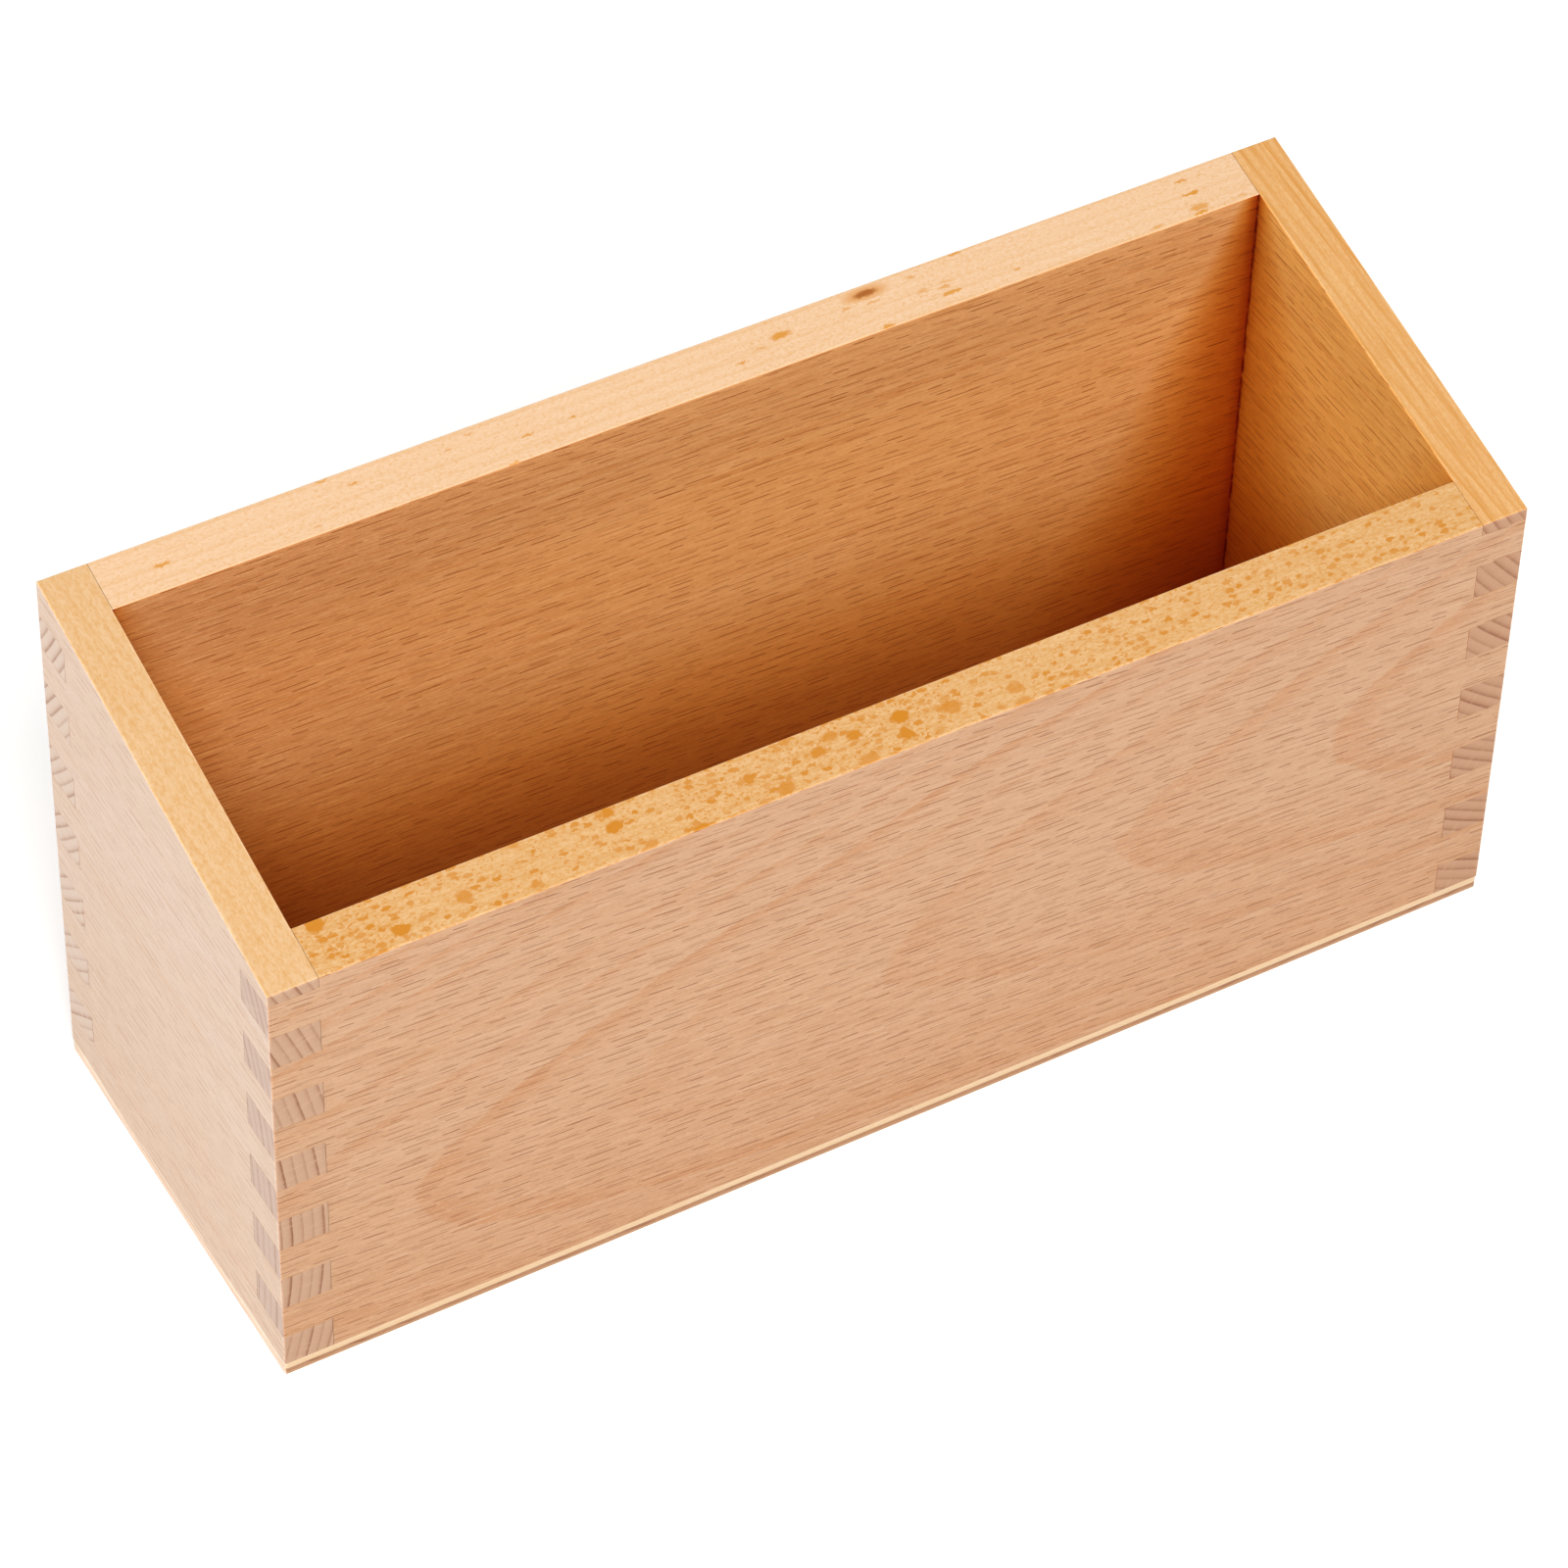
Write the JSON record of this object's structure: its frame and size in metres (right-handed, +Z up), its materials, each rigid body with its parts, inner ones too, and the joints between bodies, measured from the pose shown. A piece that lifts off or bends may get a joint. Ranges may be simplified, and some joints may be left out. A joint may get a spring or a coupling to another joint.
{
  "type": "wooden toy box",
  "caption": "Open-topped wooden box with finger-jointed corners, a rim that slopes from a tall back to a lower front, and a thin plywood base.",
  "frame": {"origin": "centre of the underside, on the surface that the box stands on", "axes": "+X along the length, +Y towards the tall back board, +Z up"},
  "size_m": [0.257, 0.09, 0.1224],
  "materials": {
    "front_wall": "sanded beech with a thin clear satin lacquer, plain-sawn face",
    "back_wall": "sanded beech with a thin clear satin lacquer, plain-sawn face",
    "left_end": "sanded beech with a thin clear satin lacquer, plain-sawn face",
    "right_end": "sanded beech with a thin clear satin lacquer, plain-sawn face",
    "top_veneer": "pale sanded beech veneer, grain along the box",
    "core_veneer": "darker beech core veneer, grain across the box",
    "bottom_veneer": "darker sanded beech veneer, grain along the box"
  },
  "bodies": {
    "root": {"front_wall": "front_wall", "back_wall": "back_wall", "left_end": "left_end", "right_end": "right_end", "base_top_veneer": "top_veneer", "base_core_veneer": "core_veneer", "base_bottom_veneer": "bottom_veneer"}
  },
  "joints": []
}
